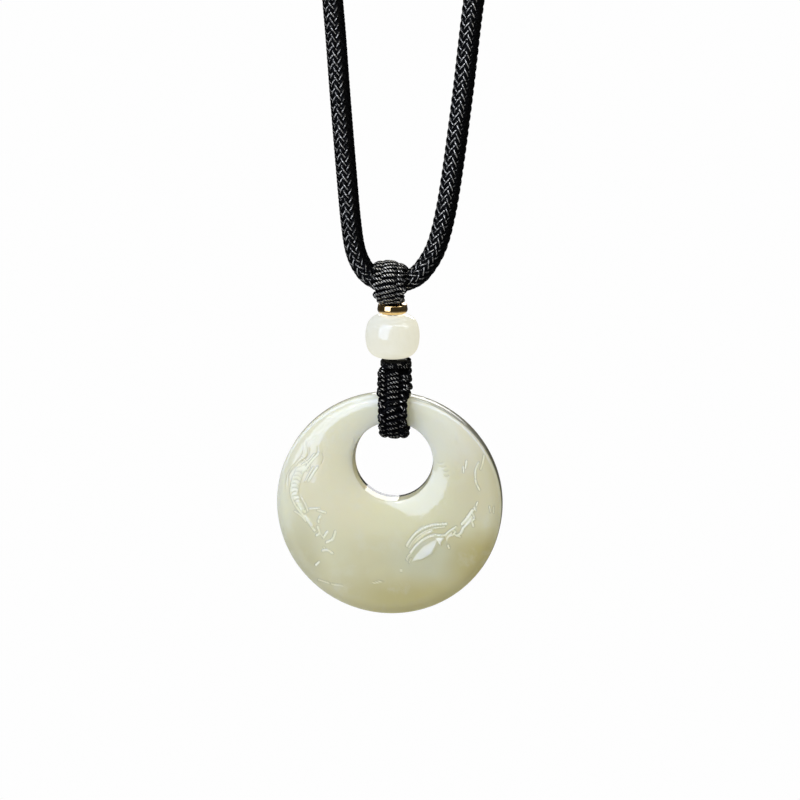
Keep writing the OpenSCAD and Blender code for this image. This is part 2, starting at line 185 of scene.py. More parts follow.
class Shape:
    """Points and faces of one piece, added a block at a time. lay is three values at each corner
    of each face. On a thread they are the place across its plies, the place along it, and how
    far it faces outward, or on the neck cord how strongly its painted glints show on the side
    toward the key lamp. On the disc they are how much painted highlight and how much painted
    shade the carving puts on the stone, and nothing."""

    def __init__(self):
        self.points, self.faces, self.lays, self.count = [], [], [], 0

    def add(self, points, faces, lay=None):
        points, faces = np.asarray(points, float), np.asarray(faces, int)
        if lay is None:
            lay = np.zeros((faces.size, 3))
        self.points.append(points)
        self.faces.append(faces + self.count)
        self.lays.append(lay.reshape(-1, 3))
        self.count += len(points)

    def cap(self, rim, middle, order):
        """Triangles from a ring of points to one in its middle."""
        i = np.arange(len(rim))
        fan = np.stack([i, np.roll(i, -1), np.full(len(rim), len(rim))], 1)
        self.add(np.vstack([rim, middle]), fan[:, ::order])

    def close(self, faces):
        """Faces over the points that are there already."""
        self.faces.append(faces)
        self.lays.append(np.zeros((faces.size, 3)))

    def make(self, name, finish, sharp=None):
        """The object, moved from the bail's centre to its place under the nape."""
        points = np.concatenate(self.points) * MM
        points[:, 2] -= LOOP_DROP * MM
        corners = np.concatenate([f.ravel() for f in self.faces])
        sides = np.concatenate([np.full(len(f), f.shape[1]) for f in self.faces])
        mesh = bpy.data.meshes.new(name)
        mesh.vertices.add(len(points))
        mesh.vertices.foreach_set("co", points.ravel())
        mesh.loops.add(len(corners))
        mesh.loops.foreach_set("vertex_index", corners)
        mesh.polygons.add(len(sides))
        mesh.polygons.foreach_set("loop_start", totals_of(sides[:-1]))
        mesh.polygons.foreach_set("use_smooth", np.ones(len(sides), bool))
        mesh.update(calc_edges=True)
        lay = mesh.attributes.new("lay", "FLOAT_VECTOR", "CORNER")
        lay.data.foreach_set("vector", np.concatenate(self.lays).ravel())
        if sharp:
            mesh.set_sharp_from_angle(angle=math.radians(sharp))
        mesh.materials.append(finish)
        return new_object(name, mesh)


def dress(obj, body, node):
    """Names the body a piece moves with and the solid it stands for."""
    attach(obj, body)
    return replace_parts(obj, node)


def sheet_faces(rows, columns, wrap_rows=False):
    """Quads over rings of points, row by row."""
    row = np.arange(rows if wrap_rows else rows - 1)
    r, c = [g.ravel() for g in np.meshgrid(row, np.arange(columns), indexing="ij")]
    r2, c2 = (r + 1) % rows, (c + 1) % columns
    return np.stack([r * columns + c, r * columns + c2, r2 * columns + c2, r2 * columns + c], 1)


def frames_along(path, first_side):
    """Unit directions to the side and up at each point, turning as little as they can."""
    ahead = unit(np.gradient(path, axis=0))
    side = np.zeros_like(ahead)
    last = np.asarray(first_side, float)
    for i, a in enumerate(ahead):
        last = last - a * (last @ a)
        last /= np.linalg.norm(last)
        side[i] = last
    return side, np.cross(ahead, side)


PLIES = 4          # in each thread
PLY_GROOVE = 0.2   # how deep the groove between them is, in radii of the thread


def thread(shape, path, radius, outward, turn=1.9, columns=4):
    """A twisted thread along a path. Its mesh follows the plies, and a groove parts them.
    outward is the way, or the way at each point, that is seen from outside, turn the length
    of one twist, and columns the faces across a ply."""
    outward = np.broadcast_to(outward, path.shape)
    side, up = frames_along(path, outward[0])
    far = far_along(path)
    sides = PLIES * columns
    column = np.arange(sides)
    angle = 2 * np.pi * (column / sides + far[:, None] / turn)
    r = radius * np.where(column % columns == 0, 1 - PLY_GROOVE, 1.0)
    ring = np.cos(angle)[..., None] * side[:, None] + np.sin(angle)[..., None] * up[:, None]
    points = path[:, None] + ring * r[None, :, None]
    faces_out = (ring * outward[:, None]).sum(-1)
    quads = sheet_faces(len(path), sides)
    row, col = np.divmod(quads[:, 0], sides)
    lay = np.stack([np.stack([(col + dc) / columns, far[row + dr],
                              faces_out[row + dr, (col + dc) % sides]], 1)
                    for dr, dc in ((0, 0), (0, 1), (1, 1), (1, 0))], 1)
    shape.add(points.reshape(-1, 3), quads, lay)
    for end, order in ((0, -1), (-1, 1)):
        shape.cap(points[end], path[end], order)


def lathe(shape, section, steps, centre):
    """A body turned round an upright line from a closed section of [out, up]."""
    out, up = np.transpose(section)
    a = 2 * np.pi * np.arange(steps) / steps
    points = np.stack([np.outer(out, np.cos(a)), np.outer(out, np.sin(a)),
                       np.outer(up, 1 + 0 * a)], -1) + centre
    shape.add(points.reshape(-1, 3), sheet_faces(len(section), steps, wrap_rows=True))


def arc(centre, radius, start, end, steps):
    a = np.radians(np.linspace(start, end, steps))
    return np.stack([centre[0] + radius * np.cos(a), centre[1] + radius * np.sin(a)], 1)


# Working out a finish with sums on its sockets

def sign(operation, order=1):
    """A sign for Wire, which adds one Math node. Order -1 is for a wire that comes last."""
    def add_node(*values):
        return values[0].finish.node("Math", {"operation": operation},
                                     dict(enumerate(values[::order])))
    return add_node


class Wire:
    """A value that runs from a node's socket. Python's signs on it add the nodes of the sum."""

    def __init__(self, finish, socket):
        self.finish, self.socket = finish, socket

    __add__ = __radd__ = sign("ADD")
    __mul__ = __rmul__ = sign("MULTIPLY")
    __sub__, __rsub__ = sign("SUBTRACT"), sign("SUBTRACT", -1)
    __truediv__, __pow__ = sign("DIVIDE"), sign("POWER")
    sine, size = sign("SINE"), sign("ABSOLUTE")


class Finish:
    """A material in the making, or the light of the room."""

    def __init__(self, name, kind="materials"):
        self.holder = getattr(bpy.data, kind).new(name)
        self.holder.use_nodes = True
        self.tree = self.holder.node_tree
        self.tree.nodes.clear()

    def node(self, kind, settings=None, values=None, out=0):
        made = self.tree.nodes.new("ShaderNode" + kind)
        for key, value in (settings or {}).items():
            setattr(made, key, value)
        for key, value in (values or {}).items():
            if isinstance(value, Wire):
                self.tree.links.new(value.socket, made.inputs[key])
            else:
                made.inputs[key].default_value = value
        return Wire(self, made.outputs[out]) if made.outputs else None

    def place(self):
        """Where a point of the object is, in metres."""
        return self.node("TexCoord", out=3)

    def parts(self, vector):
        return [self.node("SeparateXYZ", None, {0: vector}, out) for out in range(3)]

    def lay(self):
        """What Shape keeps as lay."""
        return self.parts(self.node("Attribute", {"attribute_name": "lay"}, out=1))

    def noise(self, vector, scale, detail=2.0, rough=0.5):
        return self.node("TexNoise", None, {
            "Vector": vector, "Scale": scale, "Detail": detail, "Roughness": rough})

    def mix(self, share, first, second):
        return self.node("Mix", {"data_type": "RGBA"}, {0: share, 6: first, 7: second}, 2)

    def ramp(self, share, low, high):
        """0 below low and 1 above high, smoothly between."""
        return self.node("MapRange", {"interpolation_type": "SMOOTHSTEP"}, {
            "Value": share, "From Min": low, "From Max": high})

    def bump(self, height, far, under=None):
        values = {"Height": height, "Distance": far}
        if under:
            values["Normal"] = under
        return self.node("Bump", None, values)

    def done(self, **sockets):
        """Ends in one shader, whose sockets are named with underscores for spaces."""
        shader = self.node("BsdfPrincipled", None,
                           {k.replace("_", " "): v for k, v in sockets.items()})
        self.node("OutputMaterial", None, {"Surface": shader})
        return self.holder


def tone(red, green, blue):
    """A screen colour from 0 to 255 as the light that it stands for."""
    return tuple((c / 255 / 12.92 if c < 11 else ((c / 255 + 0.055) / 1.055) ** 2.4)
                 for c in (red, green, blue)) + (1.0,)


def black_nylon(name, glint, thin, even, crown=1.2e-4, fibre=2e-5):
    """Dyed nylon: black, each ply round, with fine fibres in it. Its glints are painted
    highlights, a bright base colour made partly metallic, laid along the crown of the plies that
    face outward, so that the flanks between them stay dark as painted shade. glint is how
    strong the glints are, thin how narrow and even how evenly strewn. crown is how far in
    metres a ply stands out, and fibre how far the fibres do."""
    f = Finish(name)
    across, along, outward = f.lay()
    place = f.place()
    ply = (across * math.pi).sine().size()
    strands = (across * (8 * math.pi) + along * 12.0).sine()
    fuzz = f.noise(place, 5200.0)
    fleck_noise = f.noise(place, 2200.0)
    patch = f.ramp(f.noise(place, 620.0, 1.0), 0.4 - even, 0.6 - even)
    # Painted highlight: the glints, only on outward-facing crowns of plies, broken up by noise
    shine = (f.ramp(ply, thin, 1.0) * f.ramp(fleck_noise, 0.42 - 0.4 * even, 0.54) * patch
             * f.ramp(outward, 0.72, 0.96) * glint)
    black = f.mix(fleck_noise, tone(3, 3, 4), tone(9, 9, 9))
    return f.done(
        Base_Color=f.mix(shine, black, tone(246, 240, 222)), Metallic=shine,
        Roughness=0.2 + 0.12 * fuzz, Specular_IOR_Level=0.05,
        Normal=f.bump(fuzz + 0.5 * strands, fibre, f.bump(ply, crown)))


# Clouds in the disc's stone: middle and reach in disc radii, to the right and up, then strength
# and tone
CLOUDS = [
    (-0.45, 0.35, 0.5, 0.5, 0.7, (244, 234, 194)),
    (0.6, 0.66, 0.34, 0.26, 0.55, (242, 238, 218)),
    (0.78, 0.3, 0.25, 0.4, 0.35, (226, 214, 178)),
    (0.36, -0.5, 0.34, 0.16, 0.5, (222, 222, 192)),
    (0.86, -0.55, 0.3, 0.26, 0.85, (204, 190, 122)),
    (-0.84, -0.54, 0.21, 0.34, 0.72, (198, 188, 134)),
    (0.15, -0.92, 0.75, 0.22, 0.6, (206, 194, 128))]


def stone(f, tones, clouds, side, height):
    """Cloudy colour of the stone, paler to the upper left and deeper low down, partly its own
    tone and partly painted light and shade from the upper left. side and height are measured from
    the piece's middle, on the disc in its radii."""
    place = f.place()
    drift = 0.9 * (f.noise(place, 60.0, 3.0, 0.55) - 0.5)
    vein = f.noise(place, 34.0, 2.0, 0.4)
    deep, middle, light = (tone(*t) for t in tones)
    # Partly painted light and shade: deeper low down, paler towards the upper left
    body = f.mix(f.ramp(height - 0.12 * side + drift, -1.0, -0.1), deep, middle)
    body = f.mix(f.ramp(height - 0.45 * side + drift, 0.0, 0.95), body, light)
    for mid_x, mid_y, wide, high, strength, colour in clouds:
        off = (((side - mid_x) / wide) ** 2 + ((height - mid_y) / high) ** 2) ** 0.5
        body = f.mix(strength * (1 - f.ramp(off + drift, 0.5, 1.6)), body, tone(*colour))
    return f.mix(0.3 * f.ramp(vein, 0.45, 0.7), body, light)


def polished(f, body, ior, depth, glow, dim=0.0, ripple=0.0):
    """Slightly see-through polished stone with a cool polish. depth is how far light runs in it,
    glow how strongly it glows by emission, a painted glow that stands in for light coming back
    out of it from all round, dim how much it loses of the light on its face, and ripple a height
    that the polish left."""
    place = f.place()
    cloud = f.noise(place, 210.0, 4.0, 0.6)
    body = f.mix(0.2 * f.ramp(cloud, 0.52, 0.72), body, tone(238, 238, 222))
    return f.done(
        Base_Color=f.mix(dim, body, tone(0, 0, 0)), Roughness=0.02 + 0.03 * cloud, IOR=ior,
        Specular_Tint=(0.72, 0.77, 0.92, 1.0),
        Subsurface_Weight=1.0, Subsurface_Radius=(1.0, 0.95, 0.8), Subsurface_Scale=depth,
        # Painted glow: emission in the stone's own colour, as though lit from all round
        Emission_Color=body, Emission_Strength=glow,
        Normal=f.bump(f.noise(place, 420.0) + ripple, 1e-5))


def disc_jade():
    f = Finish("pale_jade")
    x, y, z = f.parts(f.place())
    x, y, z = x / MM, y / MM, z / MM + LOOP_DROP
    body = stone(f, ((212, 201, 142), (234, 229, 188), (239, 236, 207)), CLOUDS,
                 x / DISC_R, (z - DISC_CENTRE) / DISC_R)
    # Painted shade on the drilled wall: a little darker except at its left side, and nearly black
    # low down in its back half
    from_hole = ((x - HOLE_SHIFT) ** 2 + (z - HOLE_Z) ** 2) ** 0.5
    drilled = 1 - f.ramp(from_hole, 7.5, 7.62)
    body = f.mix(0.4 * drilled * f.ramp(x, -6.5, -2.0), body, tone(166, 162, 136))
    low = 1 - f.ramp(z, HOLE_Z - 4.5, HOLE_Z - 1.0)
    body = f.mix(0.95 * drilled * low * f.ramp(y, 0.15, 0.4), body, tone(24, 24, 20))
    # Painted highlight: a pale line on the upper right inside the rim, and beyond it a painted
    # dark reflection along the rim's outer edge
    rim = (x ** 2 + (z - DISC_CENTRE) ** 2) ** 0.5
    upper_right = f.ramp(x + 0.5 * z, -14.0, 8.0)
    pale = f.ramp(rim, 19.85, 20.0) * (1 - f.ramp(rim, 20.1, 20.25)) * upper_right
    body = f.mix(0.8 * pale * f.ramp(z, -37.0, -29.0), body, tone(255, 255, 248))
    painted_dark_rim = f.ramp(rim, 20.28, 20.45) * f.ramp(y, -1.75, -1.6)
    body = f.mix(painted_dark_rim * upper_right * 0.97, body, tone(54, 52, 36))
    # Painted dark reflection along the back edge of the rim's upper half
    edge = f.ramp(rim, 20.4, 20.6) * f.ramp(y, 0.7, 1.2) * f.ramp(z, -50.0, -38.0)
    body = f.mix(0.9 * edge, body, tone(54, 54, 46))
    # Painted highlight on the floors of the carving, and painted shade beside them
    white, painted_shade, _ = f.lay()
    body = f.mix(0.45 * painted_shade, body, tone(128, 126, 98))
    body = f.mix(0.8 * white, body, tone(255, 249, 214))
    # The polish left ripples where the face starts to roll into the hole
    ripple = f.noise(f.place(), 1000.0, 1.0) * f.ramp(from_hole, 10.0, 12.0) * 4.0
    # A faint painted glow by emission
    return polished(f, body, ior=1.72, depth=0.005, glow=0.1,
                    ripple=ripple * (1 - f.ramp(from_hole, 13.0, 14.0)))


def bead_jade():
    f = Finish("white_jade")
    x, _, z = f.parts(f.place())
    side, height = x / BEAD_R / MM, (z / MM + LOOP_DROP - BEAD_TOP) / BEAD_H + 0.5
    body = stone(f, ((248, 239, 202), (244, 241, 219), (237, 239, 230)), [], side, height)
    # Painted glow: most of the bead's brightness is emission, with its face dimmed, so its
    # shading stays flat
    return polished(f, body, ior=1.7, depth=0.009, glow=0.75, dim=0.76)


def gilt_finish():
    f = Finish("polished_gilt")
    place = f.place()
    wear = f.noise(place, 900.0, 3.0)
    rub = f.noise(place, 5200.0, 1.0)
    return f.done(
        Base_Color=f.mix(f.ramp(wear, 0.35, 0.7), tone(240, 196, 124), tone(250, 220, 160)),
        Metallic=1.0, Roughness=0.03 + 0.04 * wear, Normal=f.bump(rub, 8e-7))


# Camera

def make_camera():
    """A long lens that sees what the photograph shows, from a little above and the right."""
    far, seen, sensor = 0.6, 0.148, 36.0    # in metres, but for the sensor's millimetres
    data = bpy.data.cameras.new("long_lens")
    data.sensor_width, data.lens = sensor, sensor * far / seen
    camera = new_object("long_lens", data)
    camera.matrix_world = aimed((1.382, 0, -LOOP_DROP - 21.939), 5, 12, far)
    bpy.context.scene.camera = camera


# Neck cord

def spline(points, steps):
    """A smooth line through the points, with so many steps from one to the next."""
    p = np.asarray(points, float)
    ends = np.vstack([p[:1], p, p[-1:]])
    t = np.arange(steps)[:, None] / steps
    line = []
    for a, b, c, d in zip(ends, ends[1:], ends[2:], ends[3:]):
        line.append(0.5 * (2 * b + (c - a) * t + (2 * a - 5 * b + 4 * c - d) * t ** 2
                           + (3 * b - a - 3 * c + d) * t ** 3))
    return np.vstack(line + [p[-1:]])


BRAID_THREADS = 12     # in each of the two directions round the cord
BRAID_PITCH = 1.5      # from one pass to the next along the cord
BRAID_CUTS = 3         # faces from thread to thread
BRAID_DEPTH = 0.3      # of the grooves between passes
BRAID_COUNT = BRAID_THREADS * BRAID_CUTS    # points round the cord in each row
GLINT_SIDE_LEFT, GLINT_SIDE_FRONT = 0.77, 0.64          # the way that the side with its painted glints faces: left and to the front, toward the key lamp
GLINT_FLANK, GLINT_SIDE_MORE = 0.59, 0.89         # how strong its painted glints are on its flanks, and how much more toward that side


def braid_height(a, b):
    """How far the braid stands out, from 0 in a groove to 1 on a pass. Each thread goes over
    two of the others and under two."""
    i, j = np.floor(a + TINY), np.floor(b + TINY)
    over = np.mod(i - j, 4) < 1.5
    across = np.where(over, a - i, b - j)
    along = np.where(over, np.mod(b - i + 1, 4), np.mod(a - j - 2, 4)) / 2
    rise = np.where(np.minimum(across, 1 - across) > 0.1, 1.0, 0.0)
    return rise * np.clip(np.sin(np.pi * np.clip(along, 0, 1)), 0, 1) ** 0.55, over


def make_neck_cord(finish):
    line = spline(CORD_ROUTE, 40)
    far = far_along(line)
    length = far[-1]
    ahead = unit(np.gradient(line, far, axis=0))
    ahead[[0, -1]] = (1, 0)
    rows = int(length / (BRAID_PITCH / 2 / BRAID_CUTS)) + 1
    row, half = np.meshgrid(np.arange(rows), np.arange(BRAID_COUNT), indexing="ij")
    across = 2 * half + row % 2
    height, _ = braid_height((row + across) / 2 / BRAID_CUTS, (row - across) / 2 / BRAID_CUTS)
    s = row / (rows - 1) * length
    angle = np.pi * across / BRAID_COUNT
    r = CORD_R - BRAID_DEPTH * (1 - height)
    x, z, ax, az = (np.interp(s, far, values) for values in (*line.T, *ahead.T))
    size = np.hypot(ax, az)
    out, depth = r * np.cos(angle), r * np.sin(angle)
    points = np.stack([x - az / size * out, depth, z + ax / size * out], -1).reshape(-1, 3)
    # Painted highlight: the glints show on the cord's side toward the key lamp and fade away on
    # its far side
    glint_side = GLINT_FLANK + GLINT_SIDE_MORE * (GLINT_SIDE_LEFT * az / size * np.cos(angle)
                                        - GLINT_SIDE_FRONT * np.sin(angle)).ravel()

    # A face's corners are a step apart along one thread or the other
    def index(k, m):
        return k * BRAID_COUNT + (m % (2 * BRAID_COUNT)) // 2

    k, m = row[:-2].ravel(), across[:-2].ravel()
    quads = np.stack([index(k, m), index(k + 1, m + 1), index(k + 2, m), index(k + 1, m - 1)], 1)
    a0, b0 = (k + m) / 2 / BRAID_CUTS, (k - m) / 2 / BRAID_CUTS
    _, over = braid_height(a0 + 0.5 / BRAID_CUTS, b0 + 0.5 / BRAID_CUTS)
    step = 1 / BRAID_CUTS
    lay = []
    for corner, (da, db) in enumerate(((0, 0), (step, 0), (step, step), (0, step))):
        mine = np.where(over, np.mod(a0 + TINY, 1) + da, np.mod(b0 + TINY, 1) + db)
        other = np.where(over, b0 + db, a0 + da)
        lay.append(np.stack([mine, other * 0.9, glint_side[quads[:, corner]]], 1))
    shape = Shape()
    shape.add(points, quads, np.stack(lay, 1))
    # At each end the rim zigzags between the last two rows
    column = np.arange(BRAID_COUNT)
    for end, inner, order in ((0, 1, 1), (-1, -2, -1)):
        rim = np.stack([end * BRAID_COUNT + column,
                        inner * BRAID_COUNT + np.roll(column, -(end % rows % 2))], 1).ravel()
        shape.cap(points[rim], [line[end, 0], 0, line[end, 1]], order)
    cord = shape.make("neck_cord_braid", finish, sharp=50)
    path = np.stack([line[::8, 0], 0 * line[::8, 0], line[::8, 1] - LOOP_DROP], 1)
    return cord, path * MM, length * MM


def make_sleeve(finish):
    """Thread wound side by side over the two ends of the neck cord."""
    shape = Shape()
    r, spacing, steps = 0.46, 1.02, 70    # its radius, diameters apart, and steps in a turn
    turns = (SLEEVE_L - 2 * r) / (2 * r * spacing)
    t = np.linspace(0, 1, int(turns * steps))
    angle = 2 * np.pi * turns * t
    way = np.stack([0 * t, np.sin(angle), np.cos(angle)], 1)
    path = way * (SLEEVE_R - r) + np.stack([(t - 0.5) * (SLEEVE_L - 2 * r), 0 * t,
                                            0 * t + LOOP_DROP + SLEEVE_R], 1)
    thread(shape, path, r, way, turn=3.2, columns=2)
    return shape.make("nape_winding", finish)


# Knotted bands

STRAND_R = 0.45                # the radius of their threads
UNEVEN = (0.12, 0.05, 0.09)    # how far a thread may lean, rise and be pushed along
CORE_SIDES = 12


class Band:
    """A knotted band along a line in depth and height. A place on it is across, along and out."""

    def __init__(self, line, outward, middle, closed=False):
        self.line, self.outward, self.middle, self.closed = line, outward, middle, closed
        self.far = far_along(line)
        self.length = self.far[-1]

    def at(self, along):
        if self.closed:
            along = np.mod(along, self.length)
        centre, out = (np.stack([np.interp(along, self.far, v) for v in values.T], -1)
                       for values in (self.line, self.outward))
        return centre, unit(out)

    def put(self, across, along, out):
        centre, way = self.at(along)
        place = centre + way * out[..., None]
        return np.stack([self.middle + across, place[..., 0], place[..., 1]], -1)


def knot_band(shape, band, knots, half_width, half_thick, back=True,
              fall=lambda across, along: 0 * across, dive=1.0):
    """Flat knots: bars across the middle of the face, and between them and each edge a row of
    loops, each one a turn of thread that comes out from under one bar and goes in under the
    next but one. half_width and half_thick are functions of the place along, fall gives how
    much lower a place is, and dive how deep the threads go in at the ends of the bars."""
    r = STRAND_R
    pitch = band.length / (2 * knots)
    hand = np.random.default_rng(11)

    def lay(across, along, out):
        lean, lift, push = hand.uniform(-1, 1, 3) * UNEVEN
        along = along + push + lean * (across - across.mean())
        way = face * band.at(along)[1]
        thread(shape, band.put(across, along, out + lift - fall(across, along)), r,
               np.stack([0 * across, way[..., 0], way[..., 1]], -1))

    for face in (1, -1) if back else (1,):
        for k in range(2 * knots):
            middle = (k + 0.5) * pitch
            w, t = half_width(middle), half_thick(middle)
            q = np.linspace(-1, 1, 25)
            reach, slant = 0.4 * w, 0.2 * face
            lay(q * reach, middle - slant * q - 0.06 * (1 - q * q),
                face * ((t - r) - 1.4 * dive * r * np.abs(q) ** 4))
        for side in (-1, 1):
            for k in range(knots):
                middle = (2 * k + 1 + 0.5 * side * face) * pitch
                w, t = half_width(middle), half_thick(middle)
                turn = np.radians(np.linspace(-90, 90, 31))
                stand = np.cos(turn) ** 0.7
                lay(side * blend(0.44 * w, w - r, stand),
                    middle + pitch * 0.54 * np.sign(turn) * np.abs(np.sin(turn)) ** 0.9,
                    face * ((t - r) * (1.02 - 0.6 * stand ** 2)
                            - 1.1 * dive * r * (1 - stand) ** 3))


def band_core(shape, band, half_width, half_thick, steps, r=STRAND_R):
    """The straight threads inside a band, seen only as dark between the knots. r is how far
    in they lie."""
    along = np.linspace(0, band.length, steps)
    if band.closed:
        along = along[:-1]
    side = np.arange(CORE_SIDES)
    a = 2 * np.pi * side / CORE_SIDES
    rows = np.array([band.put((half_width(s) - 1.5 * r) * np.cos(a), s + 0 * a,
                              (half_thick(s) - 1.2 * r) * np.sin(a)) for s in along])
    shape.add(rows.reshape(-1, 3), sheet_faces(len(rows), CORE_SIDES, wrap_rows=band.closed))
    if not band.closed:
        for end, order in ((0, 1), (-1, -1)):
            shape.add(rows[end], side[None, ::order])


def strap_band():
    """Down in front of the disc, round its bridge above the hole and up behind it."""
    bridge = DISC_R - HOLE_OFFSET - THROAT_R
    wrap_in = max(math.hypot(bridge / 2, RIM_H / 2), (DISC_T + SHOULDER_T) / 4) + 0.4
    wrap_r = wrap_in + STRAP_T / 2
    wrap_z = DISC_TOP - bridge / 2
    leg_y, leg_run, leg_h = STRAP_T / 2 + 0.1, bridge / 2 + 3.6, STRAP_TOP - wrap_z
    up = np.linspace(leg_h, 0, 60, endpoint=False)
    leg = np.stack([leg_y + (wrap_r - leg_y) * smooth(1 - up / leg_run), wrap_z + up], 1)
    turn = np.linspace(0, np.pi, 121)
    wrap = np.stack([-wrap_r * np.cos(turn), wrap_z - wrap_r * np.sin(turn)], 1)
    line = np.vstack([leg * (-1, 1), wrap, leg[::-1]])
    ahead = unit(np.gradient(line, axis=0))
    ahead[0], ahead[-1] = (0, -1), (0, 1)
    outward = np.stack([ahead[:, 1], -ahead[:, 0]], 1)
    return Band(line, outward, STRAP_SHIFT)


def make_strap(finish):
    band = strap_band()

    def half_width(s):
        z = band.at(s)[0][..., 1]
        return blend(STRAP_W, STEM_W, smooth((z - DISC_TOP) / 0.6 + 0.5)) / 2

    def half_thick(s):
        return STRAP_T / 2

    shape = Shape()
    knots = round(band.length / KNOT_PITCH)
    knot_band(shape, band, knots, half_width, half_thick)
    band_core(shape, band, half_width, half_thick, 80)
    return shape.make("strap_knots", finish)


BAIL_SHIFT = -0.35    # it hangs a little to the left on the cord
BAIL_FOOT_TURN = (2.1, 1.75, 0)    # the reach of the thread round its foot
COLLAR_SHIFT = STRAP_SHIFT + 0.25    # and the collar to the right on the strap


def make_bail(finish):
    """A knotted band closed round the neck cord, with one turn of thread round its foot."""
    a = np.radians(90 - np.linspace(0, 360, 241))
    outer = np.minimum(BAIL_R, BAIL_BOTTOM / np.minimum(np.sin(a), -TINY))
    mid = (outer + TUNNEL_R) / 2
    way = np.stack([-np.cos(a), np.sin(a)], 1)
    band = Band(way * mid[:, None], way, BAIL_SHIFT, closed=True)

    def half_width(s):
        way = band.at(s)[1]
        foot = smooth((-way[..., 1] - 0.2) / 0.7)
        return blend(BAIL_W, BAIL_FOOT_W, foot) / 2

    def half_thick(s):
        return np.interp(np.mod(s, band.length), band.far, (outer - TUNNEL_R) / 2)

    def fall(across, along):
        upper = smooth((band.at(along)[1][..., 1] + 0.4) / 0.9)
        return 0.06 * upper * (across + 1.0) ** 2

    shape = Shape()
    knots = round(2 * math.pi * BAIL_R / KNOT_PITCH)
    knot_band(shape, band, knots, half_width, half_thick, back=False, fall=fall, dive=0.45)
    turn = np.linspace(0, 2 * np.pi, 90)
    way = np.stack([np.cos(turn), np.sin(turn), 0 * turn], 1)
    thread(shape, way * BAIL_FOOT_TURN + (BAIL_SHIFT + 0.1, 0, BAIL_BOTTOM + STRAND_R),
           STRAND_R, way)
    band_core(shape, band, half_width, half_thick, 97, r=0.47)
    return shape.make("bail_knots", finish)


def make_collar(finish):
    """Two turns of thread round the strap's top, and a strand that crosses them in front."""
    shape = Shape()
    r, turns, first = 0.5, 2.1, 0.3
    out = COLLAR_R - r
    middle = COLLAR_TOP - COLLAR_H / 2
    t = np.linspace(0, 1, 340)
    angle = 2 * np.pi * (turns * t + first)
    rise = (COLLAR_H / 2 - r) * (1 - 2 * t)
    way = np.stack([np.sin(angle), -np.cos(angle), 0 * t], 1)
    path = way * out + np.stack([0 * t + COLLAR_SHIFT, 0 * t, middle + rise], 1)
    thread(shape, path, r, way)
    q = np.linspace(-1, 1, 40)
    reach, bow_r, lift = 1.9, 2.42, 0.42
    path = np.stack([COLLAR_SHIFT + reach * q, -np.sqrt(bow_r ** 2 - (reach * q) ** 2),
                     middle + lift * q], 1)
    thread(shape, path, 0.46, (0, -1, 0))
    core_r, core_h, eye = out - 0.1, 0.8, 0.02
    section = [(eye, -core_h), (core_r - 0.3, -core_h), (core_r, 0), (core_r - 0.3, core_h),
               (eye, core_h)]
    lathe(shape, section, 48, (COLLAR_SHIFT, 0, middle))
    return shape.make("collar_winding", finish)


def make_bead_thread(finish):
    """The bundle that runs through the ring and the bead, from knot to knot."""
    shape = Shape()
    up = np.linspace(-3.75, -13.95, 60)
    thread(shape, np.stack([0 * up, 0 * up, up], 1), THREAD_R, (0, -1, 0), turn=6.0)
    return shape.make("bead_thread_bundle", finish)


# Turned pieces

def make_bead(finish):
    """Barrel sides, round shoulders and a drilled hole with its edges broken."""
    side_r, side_top = 7.5, 2.0
    lean = math.asin(side_top / side_r)
    side_x = BEAD_R - side_r
    edge_x = side_x + side_r * math.cos(lean)
    edge_r = (BEAD_H / 2 - side_top) / (1 - math.sin(lean))
    flat, waist = edge_x - edge_r * math.cos(lean), BEAD_H / 2 - edge_r
    bevel, turn = 0.25, math.degrees(lean)
    section = np.vstack([
        arc((side_x, 0), side_r, -turn, turn, 24),
        arc((flat, waist), edge_r, turn, 90, 32)[1:],
        arc((DRILL_R + bevel, BEAD_H / 2 - bevel), bevel, 90, 180, 7),
        arc((DRILL_R + bevel, bevel - BEAD_H / 2), bevel, 180, 270, 7),
        arc((flat, -waist), edge_r, 270, 360 - turn, 32)[:-1]])
    shape = Shape()
    lathe(shape, section[::-1], 144, (0, 0, BEAD_TOP - BEAD_H / 2))
    return shape.make("jade_bead_turned", finish)


def make_ring(finish):
    """A low ring whose wall leans in a little, well rounded at its foot."""
    half, bevel = RING_H / 2, 0.12
    foot_r, top_r, top_out, lean = 0.82, 0.28, 2.68, 7
    section = np.vstack([
        arc((RING_R - foot_r, foot_r - half), foot_r, -90, lean, 28),
        arc((top_out - top_r, half - top_r), top_r, lean, 90, 14),
        arc((DRILL_R + bevel, half - bevel), bevel, 90, 180, 6),
        arc((DRILL_R + bevel, bevel - half), bevel, 180, 270, 6)])
    shape = Shape()
    lathe(shape, section[::-1], 128, (0, 0, RING_TOP - half))
    return shape.make("gilt_ring_turned", finish)


# Jade disc

TURN_R = DISC_R - SHOULDER_IN
DOME_RISE = (DISC_T - SHOULDER_T) / 2
DOME_R = (TURN_R ** 2 + DOME_RISE ** 2) / (2 * DOME_RISE)
DOME_Z = DISC_T / 2 - DOME_R
TURN_SLOPE = math.asin(TURN_R / DOME_R)
SHOULDER_X = TURN_R - SHOULDER_R * math.sin(TURN_SLOPE)
SHOULDER_Z = SHOULDER_T / 2 - SHOULDER_R * math.cos(TURN_SLOPE)
MOUTH_R, MOUTH_Z = 7.68, 2.3    # where the face meets the broken edge of the hole
MOUTH_END = 13.9                # from the hole's centre to where the face starts to roll in


